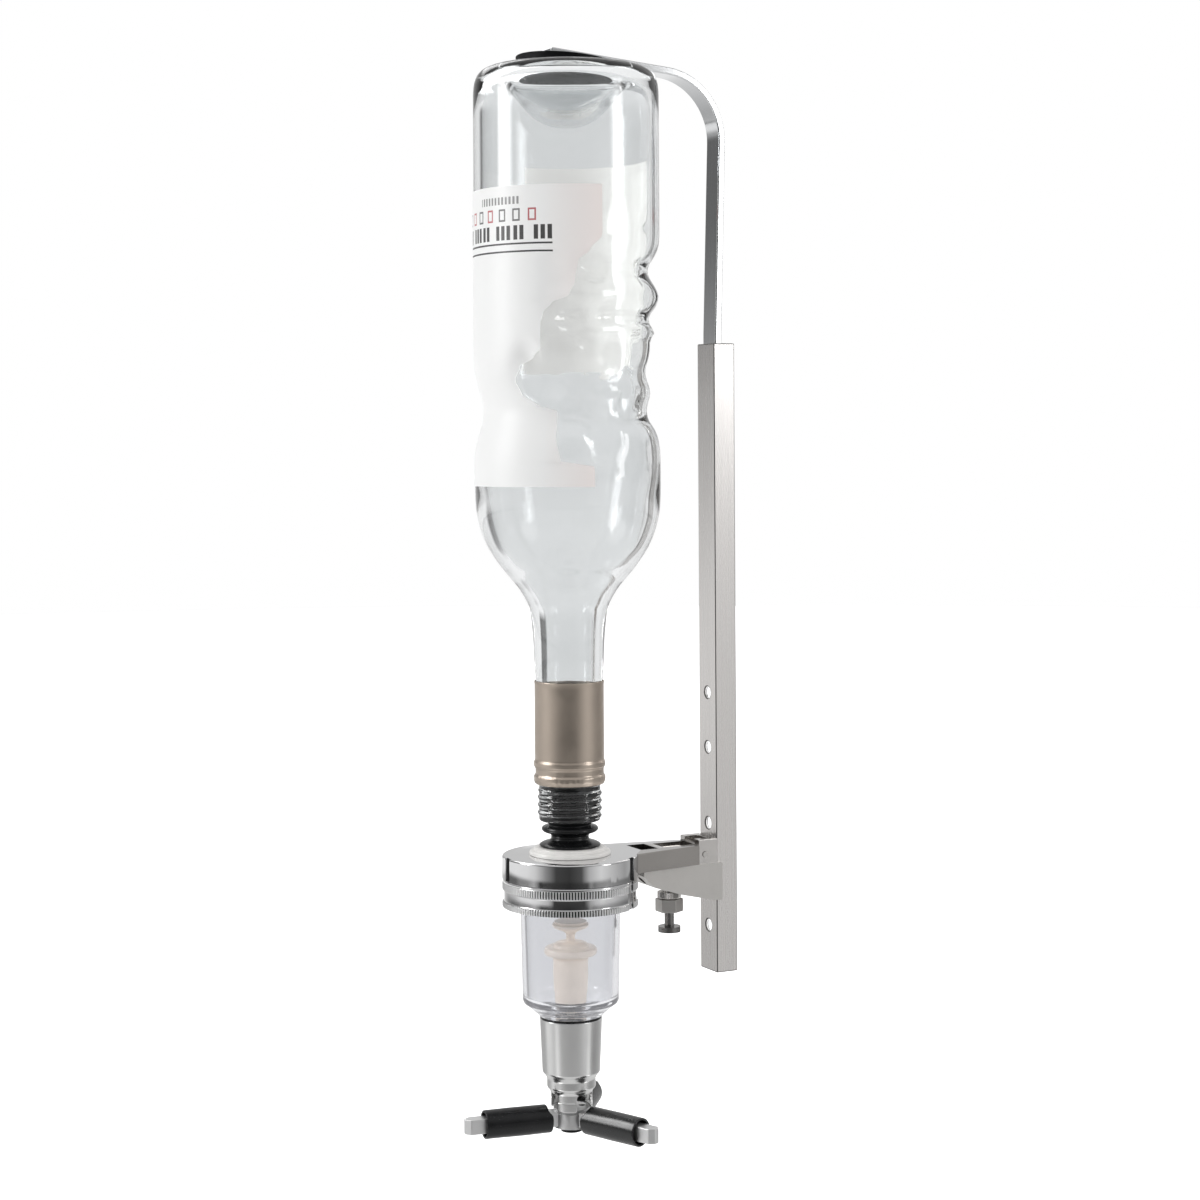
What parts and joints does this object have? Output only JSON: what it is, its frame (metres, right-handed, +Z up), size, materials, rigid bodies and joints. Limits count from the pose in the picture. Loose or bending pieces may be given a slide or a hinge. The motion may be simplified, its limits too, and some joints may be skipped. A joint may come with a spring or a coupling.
{
  "type": "liquor optic dispenser",
  "caption": "Wall-mounted spirit optic: upside-down bottle under a sliding hold-down arm, stoppered into a clear measuring chamber with three push levers round the spout.",
  "frame": {"origin": "midpoint between the two outer wall holes, on the rail's back face", "axes": "+Z up, +Y towards the wall, +X to the right seen from in front"},
  "size_m": [0.0809, 0.1201, 0.4423],
  "materials": {
    "rail_aluminium": "brushed",
    "chrome": "polished",
    "chrome_bar": "polished",
    "satin_steel": "satin",
    "spring_steel": "satin",
    "bottle_glass": "gloss",
    "chamber_plastic": "clear gloss",
    "front_paper": "uncoated paper",
    "back_paper": "uncoated paper",
    "capsule_foil": "satin champagne",
    "black_rubber": "satin",
    "white_plastic": "gloss",
    "cream_plastic": "gloss",
    "red_fibre": "matt",
    "black_nylon": "matt",
    "brass": "machined"
  },
  "bodies": {
    "wall_frame": {"rail": "rail_aluminium", "guide_block": "black_nylon", "bottle": "bottle_glass", "front_label": "front_paper", "back_label": "back_paper", "neck_capsule": "capsule_foil", "stopper": "black_rubber", "inlet_tube": "satin_steel", "seal_washer": "white_plastic", "bracket_ring_arm": "chrome", "holder_block": "satin_steel", "hook_pin": "satin_steel", "gusset_bracket": "satin_steel", "bracket_screws": "satin_steel", "lock_bushing": "satin_steel", "lock_nut": "satin_steel", "plunger_spring": "spring_steel", "chamber_head": "brass", "chamber_gasket": "black_rubber", "measure_chamber": "chamber_plastic", "valve_sleeve": "cream_plastic", "return_spring": "spring_steel", "spout_barrel": "chrome", "barrel_seal": "black_rubber"},
    "hold_down": {"hold_down_arm": "chrome_bar", "press_pad": "black_rubber", "pad_washer": "red_fibre", "pad_plate": "satin_steel", "pad_screw": "satin_steel", "bar_glide": "black_nylon", "brake_spring": "spring_steel", "glide_rivets": "satin_steel"},
    "lever_carriage": {"lever_hub": "chrome", "lever_bar_1": "satin_steel", "lever_bar_2": "satin_steel", "lever_bar_3": "satin_steel", "lever_grip_1": "black_rubber", "lever_grip_2": "black_rubber", "lever_grip_3": "black_rubber", "valve_stem": "satin_steel", "upper_valve": "cream_plastic", "upper_valve_seal": "black_rubber", "outlet_valve": "black_rubber", "spout_tip": "black_rubber", "stem_nut": "satin_steel"},
    "clamp": {"knurled_ring": "chrome"},
    "lock": {"lock_plunger": "satin_steel", "plunger_knob": "satin_steel"}
  },
  "joints": [
    {"name": "hold_down_slide", "type": "slide", "parent": "wall_frame", "child": "hold_down", "axis": [0, 0, 1], "range_m": [0, 0.06]},
    {"name": "lever_lift", "type": "slide", "parent": "wall_frame", "child": "lever_carriage", "axis": [0, 0, 1], "range_m": [0, 0.006], "stiffness_N_per_m": 400, "springref_m": -0.008, "deforming": ["return_spring"]},
    {"name": "clamp_turn", "type": "hinge", "parent": "wall_frame", "child": "clamp", "pos_m": [0, -0.075, -0.0316], "axis": [0, 0, 1], "range_deg": [-360, 360]},
    {"name": "plunger_pull", "type": "slide", "parent": "wall_frame", "child": "lock", "axis": [0, 0, -1], "range_m": [0, 0.004], "stiffness_N_per_m": 600, "springref_m": -0.004, "deforming": ["plunger_spring"]}
  ]
}
